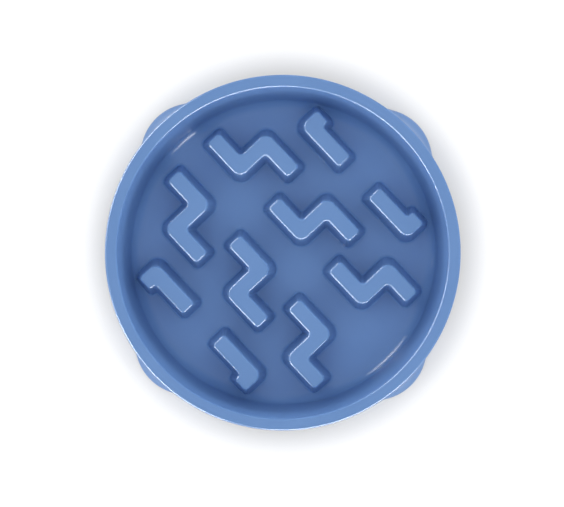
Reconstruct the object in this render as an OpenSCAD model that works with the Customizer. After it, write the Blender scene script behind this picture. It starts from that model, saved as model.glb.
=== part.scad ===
// Slow feeder bowl: one moulded shell with zig-zag ridges, standing on four rubber foot pads.
// The origin is on the ground under the middle of the bowl, with +Z up.

/* [Bowl] */
// Outer diameter of the rim
rim_d = 270; // [210:1:320]
// Height of the rim above the ground
height = 57; // [52:1:75]
// Width of the flat band on top of the rim
rim_w = 9; // [8:0.5:14]
// Wall thickness of the moulding
wall = 2.6; // [1.8:0.1:3]
// Height of the eating floor above the ground
floor_z = 14; // [13:0.5:18]
// Lean of the inner wall from upright, in degrees
bowl_draft = 13; // [5:1:15]
// Radius where the inner wall sweeps into the floor
bowl_sweep = 9.5; // [6:0.5:14]
// Radius of the rim's two edges
rim_edge = 1.8; // [0.8:0.1:2.6]

/* [Skirt] */
// Lean of the outer skirt from upright, in degrees
skirt_draft = 1; // [0.5:0.5:2]
// Height of the skirt's lowest edge above the ground
skirt_gap = 1.5; // [1:0.1:2.5]
// Half width of the finger arch between two feet
arch_half = 66; // [40:1:68]
// Rise of the finger arch above the skirt's lowest edge
arch_rise = 8; // [3:0.5:9]

/* [Feet] */
// How far a foot's own axis lies inside the rim's outer edge
foot_inset = 32; // [30:0.5:34]
// Radius of a foot at the ground
foot_r = 40.5; // [38:0.5:43]
// Radius of a foot where it melts into the skirt
foot_neck = 31; // [30:0.5:31.5]
// Height at which a foot starts to flare out of the skirt
flare_z = 36; // [28:1:42]
// Height of the upright band around a foot's lower edge
foot_band = 4; // [2:0.5:6]

/* [Ridges] */
// Height of the ridge tops above the eating floor
ridge_h = 34; // [20:1:36]
// Width of a ridge across its top
ridge_w = 12; // [10:0.5:14]
// Lean of the ridge walls from upright, in degrees
ridge_draft = 7; // [3:0.5:8]
// Radius of a ridge's top edge
ridge_edge = 1.8; // [1:0.1:2.2]
// Radius of the sweep where a ridge meets the floor
ridge_sweep = 2.5; // [1:0.1:3]
// Distance between neighbouring ridges of one row, along X and Y
pitch = 48; // [46:0.5:50]
// Length of the middle leg, between its two bends
middle_leg = 27; // [24:0.2:30]
// Length of an end leg, from its bend to its square end
end_leg = 30.3; // [26:0.1:31]
// Length of the end leg that points to the middle, on a row's last ridge
inner_leg = 31.3; // [28:0.1:34]
// Length of the end leg that points to the rim, on a row's last ridge
outer_leg = 26.4; // [22:0.1:28]
// Length of the long leg of a cut-short ridge beside the rim
side_leg = 36.8; // [30:0.2:38]
// Length of the stub leg of a cut-short ridge beside the rim
stub_leg = 11.5; // [11.5:0.1:14]
// How far all the ridges sit off the middle of the bowl, toward the rear left foot
ridge_shift = 1.8; // [0:0.1:2.5]
// Outside radius of a bend, in plan
bend_out_r = 7.3; // [5:0.1:8]
// Inside radius of a bend, in plan
bend_in_r = 3.5; // [2:0.1:4]
// Corner radius of a ridge's square end, in plan
end_r = 3.2; // [2:0.1:4]
// Inside bend and end corner radius of the stub leg, in plan
stub_r = 2.7; // [2:0.1:2.7]

/* [Foot pads] */
// Width of a foot pad
pad_w = 10; // [8:0.5:11]
// Radius of the arc along the middle of a foot pad, about the foot's axis
pad_arc_r = 28; // [27:0.5:29]
// Half of the angle that a foot pad spans, in degrees
pad_half_angle = 34; // [20:1:38]
// Depth of the pocket that holds a foot pad
pocket_depth = 3; // [2:0.5:5]
// Wall around the pocket
pocket_wall = 2; // [1.5:0.1:2.4]
// Width of the ledge that a foot pad bears on
ledge_w = 1.6; // [1:0.1:2.2]
// Height of the plug on top of a foot pad
plug_h = 4; // [2:0.5:8]
// Bevel around a foot pad's lower edge
pad_bevel = 0.8; // [0.3:0.1:1.2]
// Clearance around a foot pad in its pocket
pad_fit = 0.1; // [0.05:0.05:0.2]

/* [Hidden] */

$fn = 96;
shell_blue = [0.40, 0.56, 0.80];
pad_grey = [0.24, 0.25, 0.27];

// Overrun of every cut past the surface that it opens
over = wall / 2;
// Segments on a small rounding, on a ridge's foot and on the large sweep of the bowl
edge_steps = 3;
toe_steps = 2;
sweep_steps = 6;
// Segments on a quarter turn of a ridge's outline, at its ends and its bends
end_steps = 2;
bend_steps = 4;
// Share of the outward step that a plan radius follows below a ridge's top edge
spread_share = 0.3;
// Shallowest slope, in degrees, at which a ridge's sweep runs into the floor
toe_slope = 20;
// How far a ridge's toe reaches under the floor's surface
toe_sink = wall / 8;

rim_r = rim_d / 2;
foot_place = rim_r - foot_inset;
ridge_top = floor_z + ridge_h;
bowl_mouth_r = rim_r - rim_w;
floor_corner_r = bowl_mouth_r - (height - floor_z) * tan(bowl_draft);
sweep_r = floor_corner_r - bowl_sweep * tan((90 - bowl_draft) / 2);
skirt_slant = wall / cos(skirt_draft);
bowl_slant = wall / cos(bowl_draft);
// Inside which radius the feet leave the shell alone, halfway through the skirt
skirt_mid_r = rim_r - wall / 2;
// Inside which radius the hollow of a foot stops, clear of the bowl's wall
channel_r = bowl_mouth_r + bowl_slant + over;

// Middles of one row of zig-zags and of a cut-short ridge's bend, as shares of the pitch
row_shares = [[-0.495, 1.505], [0.505, 0.505], [1.505, -0.485]];
side_bend_shares = [0.42, 1.987];

// Radius of the skirt's outer face at a height
function skirt_r(z) = rim_r + (height - z) * tan(skirt_draft);

// Radius of the bowl's inner wall at a height, without its roundings
function bowl_r(z) = bowl_mouth_r - (height - z) * tan(bowl_draft);

// Points on an arc about a centre, from one angle to another
function arc(centre, r, from, to, steps) =
    [for (i = [0:steps]) centre + r * [
        cos(from + (to - from) * i / steps),
        sin(from + (to - from) * i / steps)
    ]];

// Arc that rounds the edge between the level top and a face leaning by draft, on either hand
function top_round(corner, r, draft, side) =
    let (centre = corner + [-side * r * tan((90 - draft) / 2), -r])
    arc(centre, r, 90, side > 0 ? draft : 180 - draft, edge_steps);

// Inner outline of the bowl, from the rim's inner edge down the wall to the middle of the floor
function bowl_line(inset) =
    concat(
        arc([sweep_r, floor_z + bowl_sweep], bowl_sweep + inset, -bowl_draft, -90, sweep_steps),
        [[0, floor_z - inset]]
    );

// Section of the whole moulding, right of the axis
function shell_section() =
    concat(
        [[skirt_r(skirt_gap), skirt_gap]],
        [for (i = [edge_steps:-1:0]) top_round([rim_r, height], rim_edge, skirt_draft, 1)[i]],
        top_round([bowl_mouth_r, height], rim_edge, bowl_draft, -1),
        bowl_line(0),
        [for (i = [sweep_steps + 1:-1:0]) bowl_line(wall)[i]],
        [
            [bowl_r(height - wall) + bowl_slant, height - wall],
            [skirt_r(height - wall) - skirt_slant, height - wall],
            [skirt_r(skirt_gap) - skirt_slant, skirt_gap]
        ]
    );

// Space inside the bowl, widened by half a wall so that what ends on it is rooted in the wall
function bowl_space() =
    concat(
        [[0, height]],
        [[bowl_mouth_r + bowl_slant / 2, height]],
        bowl_line(wall / 2)
    );

// Space under the bowl and behind the skirt
function channel_space() =
    concat(
        [
            [0, -over],
            [skirt_r(-over) - skirt_slant, -over],
            [skirt_r(height - wall) - skirt_slant, height - wall],
            [bowl_r(height - wall) + bowl_slant, height - wall]
        ],
        bowl_line(wall)
    );

// Unit vector at an angle, and a vector turned by an angle
function way(angle) = [cos(angle), sin(angle)];
function turned(v, angle) = [
    v[0] * cos(angle) - v[1] * sin(angle),
    v[0] * sin(angle) + v[1] * cos(angle)
];
function unit(v) = v / norm(v);
function left_of(v) = [-v[1], v[0]];

// Corners of one side face of a skinned solid, counted from its upper ring
function side_face(i, n) = [i, (i + 1) % n, n + (i + 1) % n, n + i];

// Corners of one face across a level ring, between opposite points of its two long sides
function cross_face(i, n) = [i, i + 1, n - 2 - i, n - 1 - i];

// Signed turn from one direction to the next, in degrees
function turn(a, b) = atan2(a[0] * b[1] - a[1] * b[0], a * b);

// One side of a path at a distance to its left, with square ends
function path_side(path, offset) =
    let (last = len(path) - 1)
    [for (i = [0:last])
        let (
            before = left_of(unit(path[max(i, 1)] - path[max(i, 1) - 1])),
            after = left_of(unit(path[min(i, last - 1) + 1] - path[min(i, last - 1)]))
        )
        path[i] + (before + after) / (1 + before * after) * offset
    ];

// Sharp outline around a path, anticlockwise
function path_outline(path, half) =
    let (far = path_side(path, half), last = len(path) - 1)
    concat(path_side(path, -half), [for (i = [last:-1:0]) far[i]]);

// Rounded corner of an outline that has been stepped out by grow, as a list of points
function corner_points(before, corner, after, grow, radii, follow) =
    let (
        into = unit(corner - before),
        out = unit(after - corner),
        bend = turn(into, out),
        sharp = corner - (left_of(into) + left_of(out)) / (1 + into * out) * grow,
        change = grow < 0 ? grow * follow : grow * spread_share,
        r = bend < 0 ? radii[1] - change : radii[0] + change,
        side = bend < 0 ? -1 : 1,
        steps = radii[2],
        centre = sharp - into * r * tan(abs(bend) / 2) + left_of(into) * r * side
    )
    [for (i = [0:steps]) centre + turned(-left_of(into) * r * side, bend * i / steps)];

// Outline around a path at one level, with the same number of points at every level
function ridge_ring(path, short, grow, follow) =
    let (
        outline = path_outline(path, ridge_w / 2),
        n = len(outline),
        legs = len(path)
    )
    [for (i = [0:n - 1])
        let (
            before = outline[(i + n - 1) % n],
            after = outline[(i + 1) % n],
            at_end = i == 0 || i == legs - 1 || i == legs || i == n - 1,
            tight = short ? stub_r : at_end ? end_r : bend_in_r,
            radii = [at_end ? tight : bend_out_r, tight, at_end ? end_steps : bend_steps]
        )
        each corner_points(before, outline[i], after, grow, radii, follow)
    ];

// Solids skinned through level rings of points, listed from the top down, one for each body
module skins(bodies, levels) {
    n = len(bodies[0][0]);
    last = len(levels) - 1;
    points = [for (rings = bodies) for (k = [0:last]) for (p = rings[k]) [p[0], p[1], levels[k]]];
    faces = [
        for (body = [0:len(bodies) - 1])
            let (first = body * n * (last + 1))
            each concat(
                [for (i = [0:n / 2 - 2]) [for (k = [3:-1:0]) first + cross_face(i, n)[k]]],
                [for (k = [0:last - 1]) for (i = [0:n - 1]) [for (c = side_face(i, n)) first + k * n + c]],
                [for (i = [0:n / 2 - 2]) [for (c = cross_face(i, n)) first + last * n + c]]
            )
    ];
    polyhedron(points, faces, convexity = 10);
}

// Step outward and height of each ring of a ridge's face, from the top down to the toe
function ridge_levels() =
    let (
        run = ridge_h * tan(ridge_draft),
        toe_centre = [run + ridge_sweep * tan((90 - ridge_draft) / 2), floor_z + ridge_sweep],
        sweep = arc(toe_centre, ridge_sweep, 180 + ridge_draft, 270 - toe_slope, toe_steps),
        toe = sweep[toe_steps]
    )
    concat(
        top_round([0, ridge_top], ridge_edge, ridge_draft, 1),
        sweep,
        [[toe[0] + (toe[1] - floor_z + toe_sink) / tan(toe_slope), floor_z - toe_sink]]
    );

// Step and height of each ring of the hollow under a ridge
function hollow_levels() =
    let (
        roof = ridge_top - wall,
        mouth = floor_z - wall - over,
        inset = wall / cos(ridge_draft),
        bevel = ridge_edge / 2
    )
    [
        [wall * tan(ridge_draft) - inset - bevel, roof],
        [(wall + bevel) * tan(ridge_draft) - inset, roof - bevel],
        [(ridge_top - mouth) * tan(ridge_draft) - inset, mouth]
    ];

// Bodies or hollows of the ridges along the given paths
module ridge_set(paths, short, hollow) {
    levels = hollow ? hollow_levels() : ridge_levels();
    follow = hollow ? spread_share : 1;
    skins(
        [for (path = paths) [for (l = levels) ridge_ring(path, short, l[0], follow)]],
        [for (l = levels) l[1]]
    );
}

// Path of a zig-zag about its middle, with the lengths of its first and last legs
function zigzag(middle, first, last) =
    let (half = way(45) * middle_leg / 2)
    [
        middle - half + way(135) * first,
        middle - half,
        middle + half,
        middle + half + way(-45) * last
    ];

// Path of a cut-short ridge, from its stub through its bend to the end of its long leg
function side_path() =
    let (bend = side_bend_shares * pitch)
    [bend + way(45) * stub_leg, bend, bend + way(-45) * side_leg];

// Paths moved as a whole toward the rear left foot
function shifted(paths) = [for (path = paths) [for (p = path) p + way(135) * ridge_shift]];

// Paths together with their mirror images in one of the two diagonals, 1 or -1
function with_mirror(paths, diagonal) =
    concat(paths, [for (path = paths) [for (p = path) [p[1], p[0]] * diagonal]]);

// The row of three zig-zags and its mirror image, and the four short ridges beside the rim
row_paths = with_mirror(
    shifted([
        zigzag(row_shares[0] * pitch, end_leg, end_leg),
        zigzag(row_shares[1] * pitch, end_leg, end_leg),
        zigzag(row_shares[2] * pitch, inner_leg, outer_leg)
    ]),
    -1
);
side_paths = with_mirror(shifted(with_mirror([side_path()], 1)), -1);

// All the ridges; the short ones run into the bowl's sweep and are cut off inside its wall
module ridges() {
    ridge_set(row_paths, false, false);
    intersection() {
        ridge_set(side_paths, true, false);
        rotate_extrude() polygon(bowl_space());
    }
}

module ridge_hollows() {
    ridge_set(row_paths, false, true);
    ridge_set(side_paths, true, true);
}

// Copies of a foot's parts about the four corners, each drawn about the foot's own axis
module at_feet() {
    for (corner = [0:3]) at_foot(corner) children();
}

module at_foot(corner) {
    rotate([0, 0, 45 + 90 * corner]) translate([foot_place, 0, 0]) children();
}

// Section of a foot about its own axis, drawn in by inset: a band at the ground under a flare
module foot_section(inset) {
    band_top = skirt_gap + foot_band;
    reach = foot_r - foot_neck;
    fall = flare_z - band_top;
    flare_r = (reach * reach + fall * fall) / (2 * reach);
    low = inset > 0 ? skirt_gap - over : skirt_gap;
    difference() {
        translate([0, low]) square([foot_r - inset, flare_z + over - low]);
        translate([foot_neck + flare_r, flare_z]) circle(r = flare_r + inset);
    }
}

// Flared feet, outside the middle of the skirt
module feet() {
    difference() {
        at_feet() rotate_extrude() foot_section(0);
        translate([0, 0, -over]) cylinder(h = height, r = skirt_mid_r);
    }
}

// Hollows of the feet, open to the channel behind the skirt
module foot_hollows() {
    difference() {
        at_feet() rotate_extrude() foot_section(wall);
        translate([0, 0, -height]) cylinder(h = height * 2, r = channel_r);
    }
}

// Curved bar about a foot's axis with round ends, and a bevel around its lower edge
module pad_bar(half_w, low, high, bevel = 0) {
    side = bevel > 0
        ? [[half_w - bevel, low], [half_w, low + bevel], [half_w, high]]
        : [[half_w, low], [half_w, high]];
    opposite = [for (i = [len(side) - 1:-1:0]) [-side[i][0], side[i][1]]];
    rotate([0, 0, -pad_half_angle])
        rotate_extrude(angle = 2 * pad_half_angle)
            translate([pad_arc_r, 0]) polygon(concat(side, opposite));
    for (end = [-1, 1])
        rotate([0, 0, end * pad_half_angle])
            translate([pad_arc_r, 0, 0])
                rotate_extrude() polygon(concat(side, [[0, high], [0, low]]));
}

// Walls that rise around each pocket through the channel up to the rim, as hollow ribs
module pocket_walls() {
    intersection() {
        difference() {
            at_feet() pad_bar(pad_w / 2 + pad_fit + pocket_wall, skirt_gap, height - wall / 2);
            rotate_extrude() polygon(bowl_space());
        }
        union() {
            at_feet() rotate_extrude() foot_section(wall / 2);
            cylinder(h = height, r = skirt_mid_r);
        }
    }
}

// Pockets for the foot pads
module pockets() {
    at_feet() pad_bar(pad_w / 2 + pad_fit, skirt_gap - over, skirt_gap + pocket_depth);
}

// Narrower wells above the pockets, which leave a ledge and the walls of the shell
module wells() {
    intersection() {
        at_feet() pad_bar(pad_w / 2 + pad_fit - ledge_w, skirt_gap, height);
        union() {
            rotate_extrude() polygon(channel_space());
            foot_hollows();
        }
    }
}

// Two pairs of finger arches, each cut by a long round bar that lies across the bowl
module arches() {
    bar_r = (arch_half * arch_half + arch_rise * arch_rise) / (2 * arch_rise);
    for (side = [0, 1])
        rotate([0, 0, 90 * side])
            translate([-rim_d, 0, skirt_gap + arch_rise - bar_r])
                rotate([0, 90, 0]) cylinder(h = 2 * rim_d, r = bar_r);
}

module bowl_shell() {
    color(shell_blue)
        difference() {
            union() {
                difference() {
                    union() {
                        rotate_extrude() polygon(shell_section());
                        feet();
                    }
                    foot_hollows();
                }
                pocket_walls();
                ridges();
            }
            ridge_hollows();
            wells();
            pockets();
            arches();
        }
}

module foot_pad(corner) {
    seat = skirt_gap + pocket_depth;
    color(pad_grey)
        at_foot(corner) {
            pad_bar(pad_w / 2, 0, seat, pad_bevel);
            pad_bar(pad_w / 2 - ledge_w, seat / 2, seat + plug_h);
        }
}

module foot_pad_rear_right() { foot_pad(0); }
module foot_pad_rear_left() { foot_pad(1); }
module foot_pad_front_left() { foot_pad(2); }
module foot_pad_front_right() { foot_pad(3); }

bowl_shell();
foot_pad_front_left();
foot_pad_front_right();
foot_pad_rear_left();
foot_pad_rear_right();
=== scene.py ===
import math

import bpy
import numpy as np
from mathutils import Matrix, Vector


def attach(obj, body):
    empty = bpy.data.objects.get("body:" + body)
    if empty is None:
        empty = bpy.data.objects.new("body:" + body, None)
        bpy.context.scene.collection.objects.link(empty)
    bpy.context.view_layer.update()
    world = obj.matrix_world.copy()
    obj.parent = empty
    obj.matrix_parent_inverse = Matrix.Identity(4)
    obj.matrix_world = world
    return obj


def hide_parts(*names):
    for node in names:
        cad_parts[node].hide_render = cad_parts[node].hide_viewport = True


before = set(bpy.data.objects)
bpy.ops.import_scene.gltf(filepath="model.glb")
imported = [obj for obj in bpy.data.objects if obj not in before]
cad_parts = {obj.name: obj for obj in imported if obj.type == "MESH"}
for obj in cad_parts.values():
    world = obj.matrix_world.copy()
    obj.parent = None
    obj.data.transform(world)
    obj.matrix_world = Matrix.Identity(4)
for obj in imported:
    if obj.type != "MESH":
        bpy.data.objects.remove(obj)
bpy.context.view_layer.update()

scene = bpy.context.scene

# Sizes in millimetres and degrees, as in the part's source.
RIM_D, HEIGHT, RIM_W, WALL, FLOOR_Z = 270.0, 57.0, 9.0, 2.6, 14.0
BOWL_DRAFT, BOWL_SWEEP, RIM_EDGE = 13.0, 9.5, 1.8
SKIRT_DRAFT, SKIRT_GAP, ARCH_HALF, ARCH_RISE = 1.0, 1.5, 66.0, 8.0
FOOT_INSET, FOOT_R, FOOT_NECK, FLARE_Z, FOOT_BAND = 32.0, 40.5, 31.0, 36.0, 4.0
RIDGE_H, RIDGE_W, RIDGE_DRAFT, RIDGE_EDGE, RIDGE_SWEEP = 34.0, 12.0, 7.0, 1.8, 2.5
PITCH, MIDDLE_LEG, END_LEG, INNER_LEG, OUTER_LEG = 48.0, 27.0, 30.3, 31.3, 26.4
SIDE_LEG, STUB_LEG, BEND_OUT_R, BEND_IN_R, END_R, STUB_R = 36.8, 11.5, 7.3, 3.5, 3.2, 2.7
RIDGE_SHIFT = 1.8
PAD_W, PAD_ARC_R, PAD_HALF, POCKET_DEPTH = 10.0, 28.0, 34.0, 3.0
POCKET_WALL, LEDGE_W, PAD_FIT = 2.0, 1.6, 0.1
# The middles of a row's three ridges and the bend of a cut-short ridge, along X and Y, as shares
# of the pitch.
ROW_SHARES, SIDE_BEND_SHARES = [(-0.495, 1.505), (0.505, 0.505), (1.505, -0.485)], (0.42, 1.987)

# Values of the fine mesh alone. How softly a foot's flare runs into its band, and the foot into
# the skirt.
BAND_BLEND, FOOT_BLEND = 1.6, 3.6
# Slope and sink of a ridge's toe.
TOE_SLOPE, TOE_SINK = 6.0, 0.12
# The share of a step that a bend's radius follows: outward, and inward on a ridge and a hollow.
SPREAD_SHARE, RIDGE_SHARE, HOLLOW_SHARE = 0.3, 1.0, 0.3
# Where a hollow's bevel and the bowl's floor have a ring of points in between.
BEVEL_RING_SHARE, FLOOR_RING_SHARE = 0.3, 0.5
# How far cutting bodies reach past what they cut, below and above.
PAST_LOW, PAST_TOP = 1.0, 5.0
SHARP_ANGLE = 32.0

# Points around the bowl, and steps along each curve of the mesh.
COLUMNS = 288
SKIRT_STEPS, INSIDE_STEPS, BLOCK_STEPS = 36, 24, 16
EDGE_STEPS, SWEEP_STEPS, UNDER_STEPS, SPACE_STEPS = 8, 14, 10, 8
TOE_STEPS, CORNER_STEPS, BEND_STEPS = 7, 6, 10
BAR_STEPS, BAR_END_STEPS = 24, 12
# Rounds in which the height and the radius of the skirt's lowest edge settle.
EDGE_ROUNDS = 3

MM = 0.001


def tan(a):
    return math.tan(math.radians(a))


def cos(a):
    return math.cos(math.radians(a))


def sin(a):
    return math.sin(math.radians(a))


# Sizes that follow from those above.
RIM_R = RIM_D / 2
MOUTH_R = RIM_R - RIM_W
RIDGE_TOP = FLOOR_Z + RIDGE_H
BOWL_SLANT = WALL / cos(BOWL_DRAFT)
SKIRT_SLANT = WALL / cos(SKIRT_DRAFT)
CORNER_R = MOUTH_R - (HEIGHT - FLOOR_Z) * tan(BOWL_DRAFT)
SWEEP_R = CORNER_R - BOWL_SWEEP * tan((90 - BOWL_DRAFT) / 2)
FOOT_PLACE = RIM_R - FOOT_INSET
FLARE_REACH = FOOT_R - FOOT_NECK
FLARE_FALL = FLARE_Z - (SKIRT_GAP + FOOT_BAND)
FLARE_R = (FLARE_REACH ** 2 + FLARE_FALL ** 2) / (2 * FLARE_REACH)
ARCH_R = (ARCH_HALF ** 2 + ARCH_RISE ** 2) / (2 * ARCH_RISE)
THETA = [360.0 * i / COLUMNS for i in range(COLUMNS)]


# Meshes and booleans
def make(name, verts, faces):
    """An object from points in millimetres."""
    mesh = bpy.data.meshes.new(name)
    mesh.from_pydata([tuple(c * MM for c in v) for v in verts], [], faces)
    mesh.validate()
    obj = bpy.data.objects.new(name, mesh)
    scene.collection.objects.link(obj)
    return obj


def combine(base, other, operation):
    """base cut by, joined with or kept inside other, which is used up."""
    mod = base.modifiers.new("cut", "BOOLEAN")
    mod.operation = operation
    mod.solver = "MANIFOLD"
    mod.object = other
    graph = bpy.context.evaluated_depsgraph_get()
    graph.update()
    mesh = bpy.data.meshes.new_from_object(base.evaluated_get(graph))
    base.modifiers.clear()
    old = base.data
    base.data = mesh
    bpy.data.meshes.remove(old)
    used = other.data
    bpy.data.objects.remove(other)
    bpy.data.meshes.remove(used)
    return base


def arc(centre, r, start, end, steps):
    return [(centre[0] + r * cos(start + (end - start) * i / steps),
             centre[1] + r * sin(start + (end - start) * i / steps)) for i in range(steps + 1)]


def top_round(corner, r, draft, side, steps):
    """Round between a level top and a drafted wall, outward for side 1 and inward for side -1."""
    centre = (corner[0] - side * r * tan((90 - draft) / 2), corner[1] - r)
    return arc(centre, r, 90, draft if side > 0 else 180 - draft, steps)


def circle(r, z):
    return [(r * cos(t), r * sin(t), z) for t in THETA]


def strip(first, second, n):
    """Faces between two rings of n points, given the numbers of the rings' first points."""
    return [(first + i, first + (i + 1) % n, second + (i + 1) % n, second + i) for i in range(n)]


def closed_skin(name, levels):
    """Closed skin through rings of points with the same count, with a fan at either end."""
    n = len(levels[0])
    last = (len(levels) - 1) * n
    verts, faces = [], []
    for ring in levels:
        verts += ring
    for k in range(len(levels) - 1):
        faces += strip(k * n, (k + 1) * n, n)
    low, top = len(verts), len(verts) + 1
    verts += [(0.0, 0.0, levels[0][0][2]), (0.0, 0.0, levels[-1][0][2])]
    faces += [(low, (i + 1) % n, i) for i in range(n)]
    faces += [(top, last + i, last + (i + 1) % n) for i in range(n)]
    return make(name, verts, faces)


# The shell: skirt with feet, rim, bowl and underside
def smooth_max(a, b, k):
    """The larger of two values, with a soft change from one to the other over a width k."""
    h = max(k - abs(a - b), 0.0) / k
    return max(a, b) + h * h * k / 4


def foot_radius(z, inset):
    """Radius of a foot about its own axis at a height, with its hollow drawn in by the wall."""
    fall = max(FLARE_Z - z, 0.0)
    r = FLARE_R + inset
    flare = FOOT_NECK + FLARE_R - math.sqrt(r * r - fall * fall)
    band = FOOT_R - inset
    return -smooth_max(-flare, -band, BAND_BLEND)


def foot_reach(theta, z, inset):
    """Distance from the bowl's axis to the far side of the nearest foot."""
    phi = (theta - 45) % 90
    phi = phi - 90 if phi > 45 else phi
    r = foot_radius(z, inset)
    side = FOOT_PLACE * sin(phi)
    if abs(side) >= r or z > FLARE_Z:
        return 0.0
    return FOOT_PLACE * cos(phi) + math.sqrt(r * r - side * side)


def skirt_radius(theta, z, inset):
    """Distance from the bowl's axis to the skirt with its feet, or to its hidden face."""
    plain = RIM_R + (HEIGHT - z) * tan(SKIRT_DRAFT) - (SKIRT_SLANT if inset else 0.0)
    return smooth_max(plain, foot_reach(theta, z, inset), FOOT_BLEND)


def arch_z(x, y):
    """Height of the skirt's lowest edge over a point in plan."""
    z = SKIRT_GAP
    for c in (x, y):
        if abs(c) < ARCH_HALF:
            z = max(z, SKIRT_GAP + ARCH_RISE - ARCH_R + math.sqrt(ARCH_R * ARCH_R - c * c))
    return z


def skirt_rows(top, inset, rows):
    """Rings of points up the skirt, from its lowest edge to the height top."""
    low = []
    for t in THETA:
        z = SKIRT_GAP
        for _ in range(EDGE_ROUNDS):
            r = skirt_radius(t, z, inset)
            z = arch_z(r * cos(t), r * sin(t))
        low.append(z)
    out = []
    for k in range(rows + 1):
        ring = []
        for i, t in enumerate(THETA):
            z = low[i] + (top - low[i]) * k / rows
            r = skirt_radius(t, z, inset)
            ring.append((r * cos(t), r * sin(t), z))
        out.append(ring)
    return out


def bowl_foot(offset, steps):
    """Section of the sweep from the inner wall into the floor, moved outward by an offset."""
    return arc((SWEEP_R, FLOOR_Z + BOWL_SWEEP), BOWL_SWEEP + offset, -BOWL_DRAFT, -90, steps)


def shell():
    outer = top_round((RIM_R, HEIGHT), RIM_EDGE, SKIRT_DRAFT, 1, EDGE_STEPS)
    inner = top_round((MOUTH_R, HEIGHT), RIM_EDGE, BOWL_DRAFT, -1, EDGE_STEPS)
    roof = HEIGHT - WALL
    front = skirt_rows(outer[-1][1], 0.0, SKIRT_STEPS)
    front += [circle(*p) for p in outer[-2::-1] + inner + bowl_foot(0, SWEEP_STEPS)]
    front.append(circle(SWEEP_R * FLOOR_RING_SHARE, FLOOR_Z))
    back = [circle(SWEEP_R * FLOOR_RING_SHARE, FLOOR_Z - WALL)]
    back += [circle(*p) for p in bowl_foot(WALL, UNDER_STEPS)[::-1]]
    back.append(circle(MOUTH_R - WALL * tan(BOWL_DRAFT) + BOWL_SLANT, roof))
    back += skirt_rows(roof, WALL, INSIDE_STEPS)[::-1]
    n, count = COLUMNS, len(front) + len(back)
    top, low = (len(front) - 1) * n, len(front) * n
    verts, faces = [], []
    for ring in front + back:
        verts += ring
    for first in range(0, (count - 1) * n, n):
        if first != top:
            faces += strip(first, first + n, n)
    faces += strip((count - 1) * n, 0, n)
    # the floor's two faces close in the middle
    over, under = len(verts), len(verts) + 1
    verts += [(0.0, 0.0, FLOOR_Z), (0.0, 0.0, FLOOR_Z - WALL)]
    for i in range(n):
        j = (i + 1) % n
        faces.append((top + i, top + j, over))
        faces.append((under, low + j, low + i))
    return make("shell", verts, faces)


# The ridges
def unit(v):
    return v / np.linalg.norm(v)


def left_of(v):
    return np.array((-v[1], v[0]))


def turned(v, a):
    return np.array((v[0] * cos(a) - v[1] * sin(a), v[0] * sin(a) + v[1] * cos(a)))


def way(a):
    return np.array((cos(a), sin(a)))


def path_side(path, offset):
    """The path moved sideways by an offset, with its corners kept sharp."""
    out = []
    last = len(path) - 1
    for i in range(last + 1):
        before = left_of(unit(path[max(i, 1)] - path[max(i, 1) - 1]))
        after = left_of(unit(path[min(i, last - 1) + 1] - path[min(i, last - 1)]))
        out.append(path[i] + (before + after) / (1 + before @ after) * offset)
    return out


def ridge_ring(path, radii, grow, follow):
    """Outline about a path with every corner rounded, stepped outward by grow."""
    end_r, bend_in_r = radii
    outline = path_side(path, -RIDGE_W / 2) + path_side(path, RIDGE_W / 2)[::-1]
    n, legs = len(outline), len(path)
    ring = []
    for i in range(n):
        before, corner, after = outline[i - 1], outline[i], outline[(i + 1) % n]
        at_end = i in (0, legs - 1, legs, n - 1)
        into, out = unit(corner - before), unit(after - corner)
        bend = math.degrees(math.atan2(into[0] * out[1] - into[1] * out[0], into @ out))
        sharp = corner - (left_of(into) + left_of(out)) / (1 + into @ out) * grow
        change = grow * (follow if grow < 0 else SPREAD_SHARE)
        if bend < 0:
            side, r = -1, (end_r if at_end else bend_in_r) - change
        else:
            side, r = 1, (end_r if at_end else BEND_OUT_R) + change
        steps = CORNER_STEPS if at_end else BEND_STEPS
        centre = sharp - into * r * tan(abs(bend) / 2) + left_of(into) * r * side
        ring += [centre + turned(-left_of(into) * r * side, bend * s / steps)
                 for s in range(steps + 1)]
    return ring


def ridge_mesh(name, paths, radii, levels, follow):
    """One closed body per path, through its outlines at the levels (outward step, height)."""
    verts, faces = [], []
    for path in paths:
        first = len(verts)
        skin = [ridge_ring(path, radii, g, follow) for g, z in levels]
        n = len(skin[0])
        for ring, (g, z) in zip(skin, levels):
            verts += [(p[0], p[1], z) for p in ring]
        last = len(levels) - 1
        for i in range(n // 2 - 1):
            cross = (i, i + 1, n - 2 - i, n - 1 - i)
            faces.append(tuple(first + c for c in cross))
            faces.append(tuple(first + last * n + c for c in cross[::-1]))
        for k in range(last):
            for i in range(n):
                j = (i + 1) % n
                corners = (k * n + i, (k + 1) * n + i, (k + 1) * n + j, k * n + j)
                faces.append(tuple(first + c for c in corners))
    return make(name, verts, faces)


def ridge_levels():
    """Steps outward and heights down a ridge, from the round on top to the toe in the floor."""
    run = RIDGE_H * tan(RIDGE_DRAFT)
    centre = (run + RIDGE_SWEEP * tan((90 - RIDGE_DRAFT) / 2), FLOOR_Z + RIDGE_SWEEP)
    sweep = arc(centre, RIDGE_SWEEP, 180 + RIDGE_DRAFT, 270 - TOE_SLOPE, TOE_STEPS)
    toe = sweep[-1]
    tip = (toe[0] + (toe[1] - FLOOR_Z + TOE_SINK) / tan(TOE_SLOPE), FLOOR_Z - TOE_SINK)
    return top_round((0.0, RIDGE_TOP), RIDGE_EDGE, RIDGE_DRAFT, 1, EDGE_STEPS) + sweep + [tip]


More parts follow.
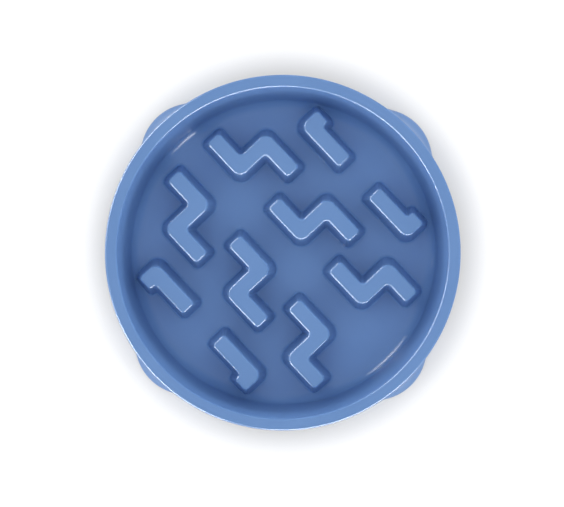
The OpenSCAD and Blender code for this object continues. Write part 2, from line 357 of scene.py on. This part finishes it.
def hollow_levels():
    """Steps outward and heights down a ridge's hollow, from its bevelled roof to its mouth."""
    roof, mouth = RIDGE_TOP - WALL, FLOOR_Z - WALL - WALL / 2
    inset, bevel = WALL / cos(RIDGE_DRAFT), RIDGE_EDGE / 2
    step = bevel * BEVEL_RING_SHARE
    return [(WALL * tan(RIDGE_DRAFT) - inset - bevel, roof),
            (WALL * tan(RIDGE_DRAFT) - inset - step, roof - step),
            ((WALL + bevel) * tan(RIDGE_DRAFT) - inset, roof - bevel),
            ((RIDGE_TOP - mouth) * tan(RIDGE_DRAFT) - inset, mouth)]


def zigzag(middle, first, last):
    """Path of a ridge of three legs about a middle, given the lengths of its two outer legs."""
    half = way(45) * MIDDLE_LEG / 2
    m = np.array(middle) * PITCH
    return [m - half + way(135) * first, m - half, m + half, m + half + way(-45) * last]


def mirrored(paths, diagonal):
    """The paths and their mirror images in one of the bowl's two diagonals."""
    return paths + [[np.array((p[1], p[0])) * diagonal for p in path] for path in paths]


def shifted(paths):
    return [[p + way(135) * RIDGE_SHIFT for p in path] for path in paths]


# Paths of the six long and the four cut-short ridges, with the radii of their ends and of the
# insides of their bends.
row_legs = [(END_LEG, END_LEG), (END_LEG, END_LEG), (INNER_LEG, OUTER_LEG)]
row = [zigzag(middle, *legs) for middle, legs in zip(ROW_SHARES, row_legs)]
long_paths, long_radii = mirrored(shifted(row), -1), (END_R, BEND_IN_R)
bend_at = np.array(SIDE_BEND_SHARES) * PITCH
side = [bend_at + way(45) * STUB_LEG, bend_at, bend_at + way(-45) * SIDE_LEG]
short_paths, short_radii = mirrored(shifted(mirrored([side], 1)), -1), (STUB_R, STUB_R)


def bowl_space():
    """What lies inside the bowl, widened by half a wall."""
    profile = [(MOUTH_R + BOWL_SLANT / 2, HEIGHT)] + bowl_foot(WALL / 2, SPACE_STEPS)
    return closed_skin("space", [circle(*p) for p in profile][::-1])


# The pads' pockets
def bars(name, half_w, low, high):
    """Four curved bars with round ends, one about each foot's own axis."""
    inner_r, outer_r = PAD_ARC_R - half_w, PAD_ARC_R + half_w
    far = (PAD_ARC_R * cos(PAD_HALF), PAD_ARC_R * sin(PAD_HALF))
    near = (far[0], -far[1])
    points = [(outer_r * cos(a), outer_r * sin(a))
              for a in np.linspace(-PAD_HALF, PAD_HALF, BAR_STEPS + 1)]
    points += arc(far, half_w, PAD_HALF, PAD_HALF + 180, BAR_END_STEPS)[1:-1]
    points += [(inner_r * cos(a), inner_r * sin(a))
               for a in np.linspace(PAD_HALF, -PAD_HALF, BAR_STEPS + 1)]
    points += arc(near, half_w, 180 - PAD_HALF, 360 - PAD_HALF, BAR_END_STEPS)[1:-1]
    verts, faces = [], []
    n = len(points)
    for corner in range(4):
        first = len(verts)
        for z in (low, high):
            for p in points:
                q = turned(np.array((p[0] + FOOT_PLACE, p[1])), 45 + 90 * corner)
                verts.append((q[0], q[1], z))
        faces.append(tuple(first + i for i in range(n - 1, -1, -1)))
        faces.append(tuple(first + n + i for i in range(n)))
        faces += strip(first, first + n, n)
    return make(name, verts, faces)


def between_walls(share, top):
    """What lies between skirt and bowl, from a share of the wall behind their seen faces."""
    low = SKIRT_GAP - PAST_LOW
    levels = []
    for k in range(BLOCK_STEPS + 1):
        z = low + (top - low) * k / BLOCK_STEPS
        radii = [skirt_radius(t, z, WALL) + WALL * (1 - share) for t in THETA]
        levels.append([(r * cos(t), r * sin(t), z) for t, r in zip(THETA, radii)])
    block = closed_skin("block", levels)
    offset = WALL * share
    brim = (MOUTH_R + offset / cos(BOWL_DRAFT) + PAST_TOP * tan(BOWL_DRAFT), HEIGHT + PAST_TOP)
    profile = [brim] + bowl_foot(offset, SPACE_STEPS)
    inner = closed_skin("inner", [circle(*p) for p in profile][::-1])
    return combine(block, inner, "DIFFERENCE")


pocket_half = PAD_W / 2 + PAD_FIT
body = shell()
ribs = combine(bars("ribs", pocket_half + POCKET_WALL, SKIRT_GAP, HEIGHT - WALL / 2),
               between_walls(share=0.5, top=HEIGHT), "INTERSECT")
body = combine(body, ribs, "UNION")
long = ridge_mesh("long", long_paths, long_radii, ridge_levels(), RIDGE_SHARE)
body = combine(body, long, "UNION")
short = ridge_mesh("short", short_paths, short_radii, ridge_levels(), RIDGE_SHARE)
body = combine(body, combine(short, bowl_space(), "INTERSECT"), "UNION")
for paths, radii in ((long_paths, long_radii), (short_paths, short_radii)):
    hollow = ridge_mesh("hollow", paths, radii, hollow_levels(), HOLLOW_SHARE)
    body = combine(body, hollow, "DIFFERENCE")
wells = combine(bars("wells", pocket_half - LEDGE_W, SKIRT_GAP, HEIGHT),
                between_walls(share=1.0, top=HEIGHT - WALL), "INTERSECT")
body = combine(body, wells, "DIFFERENCE")
pockets = bars("pockets", pocket_half, SKIRT_GAP - WALL / 2, SKIRT_GAP + POCKET_DEPTH)
body = combine(body, pockets, "DIFFERENCE")
body.name = body.data.name = "bowl"

body.data.polygons.foreach_set("use_smooth", [True] * len(body.data.polygons))
body.data.set_sharp_from_angle(angle=math.radians(SHARP_ANGLE))
weighted = body.modifiers.new("weighted", "WEIGHTED_NORMAL")
weighted.mode = "FACE_AREA"
weighted.keep_sharp = True
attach(body, "root")
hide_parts("bowl_shell")

# Materials. A noise is its scale, detail and roughness. A range is what a surface goes between
# as its noise goes from NOISE_LOW to NOISE_HIGH. A bump is its strength and its depth in metres.
NOISE_LOW, NOISE_HIGH = 0.3, 0.7
PLASTIC = {
    "tint_noise": (26.0, 4.0, 0.55), "tints": ((0.124, 0.249, 0.521), (0.136, 0.264, 0.540)),
    "gloss_noise": (14.0, 1.0, 0.5), "roughness": (0.28, 0.30),
    "grain_noise": (900.0, 2.0, 0.5), "bump": (0.08, 0.00004),
}
RUBBER = {
    "tint_noise": (140.0, 5.0, 0.6), "tints": ((0.036, 0.038, 0.042), (0.056, 0.059, 0.064)),
    "gloss_noise": (140.0, 5.0, 0.6), "roughness": (0.62, 0.78),
    "grain_noise": (1800.0, 2.0, 0.5), "bump": (0.25, 0.00006),
}
PLASTIC_IOR, PLASTIC_SPECULAR = 1.49, 0.25


def material(name):
    mat = bpy.data.materials.new(name)
    mat.use_nodes = True
    nodes, links = mat.node_tree.nodes, mat.node_tree.links
    return mat, nodes, links, nodes["Principled BSDF"]


def noise(nodes, links, coords, values):
    n = nodes.new("ShaderNodeTexNoise")
    for socket, value in zip(("Scale", "Detail", "Roughness"), values):
        n.inputs[socket].default_value = value
    links.new(coords.outputs["Object"], n.inputs["Vector"])
    return n.outputs["Fac"]


def remap(nodes, links, source, before, after):
    """source taken from one range to another."""
    m = nodes.new("ShaderNodeMapRange")
    for socket, value in zip(("From Min", "From Max", "To Min", "To Max"), before + after):
        m.inputs[socket].default_value = value
    links.new(source, m.inputs["Value"])
    return m


def blend(nodes, links, factor, a, b):
    """Colour between a and b, by a factor from 0 to 1."""
    m = nodes.new("ShaderNodeMix")
    m.data_type = "RGBA"
    m.inputs[6].default_value = (*a, 1)
    m.inputs[7].default_value = (*b, 1)
    links.new(factor, m.inputs[0])
    return m.outputs[2]


def surface(name, recipe):
    """A moulded surface with uneven colour, uneven gloss and a fine grain."""
    mat, nodes, links, shader = material(name)
    coords = nodes.new("ShaderNodeTexCoord")
    spread = (NOISE_LOW, NOISE_HIGH)
    tint = remap(nodes, links, noise(nodes, links, coords, recipe["tint_noise"]), spread, (0, 1))
    links.new(blend(nodes, links, tint.outputs["Result"], *recipe["tints"]),
              shader.inputs["Base Color"])
    gloss = remap(nodes, links, noise(nodes, links, coords, recipe["gloss_noise"]),
                  spread, recipe["roughness"])
    links.new(gloss.outputs["Result"], shader.inputs["Roughness"])
    bump = nodes.new("ShaderNodeBump")
    bump.inputs["Strength"].default_value, bump.inputs["Distance"].default_value = recipe["bump"]
    links.new(noise(nodes, links, coords, recipe["grain_noise"]), bump.inputs["Height"])
    links.new(bump.outputs["Normal"], shader.inputs["Normal"])
    return mat, shader


plastic, shader = surface("shell_plastic", PLASTIC)
shader.inputs["IOR"].default_value = PLASTIC_IOR
shader.inputs["Specular IOR Level"].default_value = PLASTIC_SPECULAR
rubber, shader = surface("pad_rubber", RUBBER)
body.data.materials.clear()
body.data.materials.append(plastic)
for name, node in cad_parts.items():
    node.data.materials.clear()
    node.data.materials.append(plastic if name == "bowl_shell" else rubber)

# Floor and lights, in metres
FLOOR_HALF, FLOOR_COLOUR, FLOOR_ROUGHNESS = 4.0, 0.5, 0.9
# The floor's middle, about which its glow brightens, lies toward the side where the shadow is
# deeper, so the painted shade around the bowl is deeper on that side.
FLOOR_AT = (0.0013, -0.0004, 0)
# Distances between which the floor brightens, and its own light at either. The weaker light near
# the bowl paints a shade around the bowl, on top of its real shadow.
LIFT_FROM, LIFT = (0.1362, 0.1652), (0.34, 0.62)
# The world's brightness from the horizon to straight above, as shares of SKY_LIGHT.
SKY_LIGHT = 2.88
SKY = [(0.0, 1.0), (0.2, 1.0), (0.36, 0.12), (0.6, 0.12), (0.82, 0.48), (1.0, 0.48)]
# Azimuth, elevation and power of the lamps that show only as lines along the rounded edges.
EDGES = [("edge_left", 152, 11.5, 100.0), ("edge_front", 226, 14.0, 142.0),
         ("edge_right", 290, 11.5, 140.0)]
EDGE_SIZE, EDGE_DISTANCE, EDGE_TARGET = (1.3, 0.25), 1.4, (0, 0, 0.04)


def math_node(nodes, links, operation, first, second):
    m = nodes.new("ShaderNodeMath")
    m.operation = operation
    links.new(first, m.inputs[0])
    links.new(second, m.inputs[1])
    return m.outputs[0]


def seen_directly(nodes, links):
    """1 for camera, glossy and transmission rays, and 0 for the rays that light the object."""
    path = nodes.new("ShaderNodeLightPath")
    total = path.outputs["Is Camera Ray"]
    for kind in ("Is Glossy Ray", "Is Transmission Ray"):
        total = math_node(nodes, links, "MAXIMUM", total, path.outputs[kind])
    return total


floor_mesh = bpy.data.meshes.new("floor")
corners = [(x * FLOOR_HALF, y * FLOOR_HALF, 0) for x, y in ((-1, -1), (1, -1), (1, 1), (-1, 1))]
floor_mesh.from_pydata(corners, [], [(0, 1, 2, 3)])
floor = bpy.data.objects.new("floor", floor_mesh)
floor.location = FLOOR_AT
scene.collection.objects.link(floor)
paper, nodes, links, shader = material("paper")
shader.inputs["Base Color"].default_value = (FLOOR_COLOUR, FLOOR_COLOUR, FLOOR_COLOUR, 1)
shader.inputs["Roughness"].default_value = FLOOR_ROUGHNESS
shader.inputs["Specular IOR Level"].default_value = 0.0
# the floor's own light shows to camera, glossy and transmission rays, and lights nothing; it is
# weaker near the bowl, which paints a shade on the floor around the bowl
where = nodes.new("ShaderNodeTexCoord")
reach = nodes.new("ShaderNodeVectorMath")
reach.operation = "LENGTH"
links.new(where.outputs["Object"], reach.inputs[0])
# painted shade: the floor's own light is dimmer close to the bowl than farther out
painted_shade_glow = remap(nodes, links, reach.outputs["Value"], LIFT_FROM, LIFT)
painted_shade_glow.interpolation_type = "SMOOTHSTEP"
shader.inputs["Emission Color"].default_value = (1, 1, 1, 1)
links.new(math_node(nodes, links, "MULTIPLY", painted_shade_glow.outputs["Result"], seen_directly(nodes, links)),
          shader.inputs["Emission Strength"])
paper.cycles.emission_sampling = "NONE"
floor_mesh.materials.append(paper)

world = bpy.data.worlds.new("world")
world.use_nodes = True
scene.world = world
nodes, links = world.node_tree.nodes, world.node_tree.links
background = nodes["Background"]
background.inputs["Strength"].default_value = SKY_LIGHT
sky = nodes.new("ShaderNodeTexCoord")
axes = nodes.new("ShaderNodeSeparateXYZ")
links.new(sky.outputs["Generated"], axes.inputs[0])
level = nodes.new("ShaderNodeValToRGB")
level.color_ramp.interpolation = "EASE"
stops = level.color_ramp.elements
for place, share in SKY[1:-1]:
    stops.new(place)
for stop, (place, share) in zip(stops, SKY):
    stop.color = (share, share, share, 1)
links.new(axes.outputs["Z"], level.inputs[0])
links.new(level.outputs["Color"], background.inputs["Color"])
# what is seen directly of the world is plain white, and the bands of SKY only light the object
white = nodes.new("ShaderNodeBackground")
white.inputs["Strength"].default_value = 1.0
mix = nodes.new("ShaderNodeMixShader")
links.new(seen_directly(nodes, links), mix.inputs[0])
links.new(background.outputs[0], mix.inputs[1])
links.new(white.outputs[0], mix.inputs[2])
links.new(mix.outputs[0], nodes["World Output"].inputs["Surface"])


def around(azimuth, elevation, distance):
    """Place at a distance from the point on the floor under the bowl's middle."""
    return (distance * cos(azimuth) * cos(elevation), distance * sin(azimuth) * cos(elevation),
            distance * sin(elevation))


for name, azimuth, elevation, watts in EDGES:
    light = bpy.data.lights.new(name, "AREA")
    light.shape = "RECTANGLE"
    light.size, light.size_y = EDGE_SIZE
    light.energy = watts
    edge = bpy.data.objects.new(name, light)
    edge.location = around(azimuth, elevation, EDGE_DISTANCE)
    facing = Vector(EDGE_TARGET) - Vector(edge.location)
    edge.rotation_euler = facing.to_track_quat("-Z", "Y").to_euler()
    edge.visible_diffuse = False
    scene.collection.objects.link(edge)

# Camera. It looks straight down from LEAN metres beside the bowl's axis, turned by ROLL degrees so
# that the bowl appears a little clockwise. RIM_PX is the rim's radius in pixels of the frame, and
# AIM_PX how far the middle of the frame lies to the left of the rim's middle and below it.
FRAME_W, RIM_PX, AIM_PX, ROLL = 564, 178.05, 0.75, 1.7
DISTANCE, LEAN, SENSOR_MM, CLIP_END = 2.2, (0.027, 0.032), 36.0, 50

pixel = (RIM_R * MM) / RIM_PX
camera_data = bpy.data.cameras.new("camera")
camera = bpy.data.objects.new("camera", camera_data)
scene.collection.objects.link(camera)
scene.camera = camera
camera_data.sensor_width = SENSOR_MM
camera_data.lens = SENSOR_MM * DISTANCE / (FRAME_W * pixel)
camera_data.clip_end = CLIP_END
camera.location = (*LEAN, DISTANCE + HEIGHT * MM)
camera.rotation_euler = (0.0, 0.0, math.radians(ROLL))
right = Vector((cos(ROLL), sin(ROLL), 0))
up = Vector((-sin(ROLL), cos(ROLL), 0))
aim = -(right + up) * AIM_PX * pixel - Vector((*LEAN, 0))
camera_data.shift_x = (aim @ right) / (FRAME_W * pixel)
camera_data.shift_y = (aim @ up) / (FRAME_W * pixel)

scene.view_settings.view_transform = "Standard"
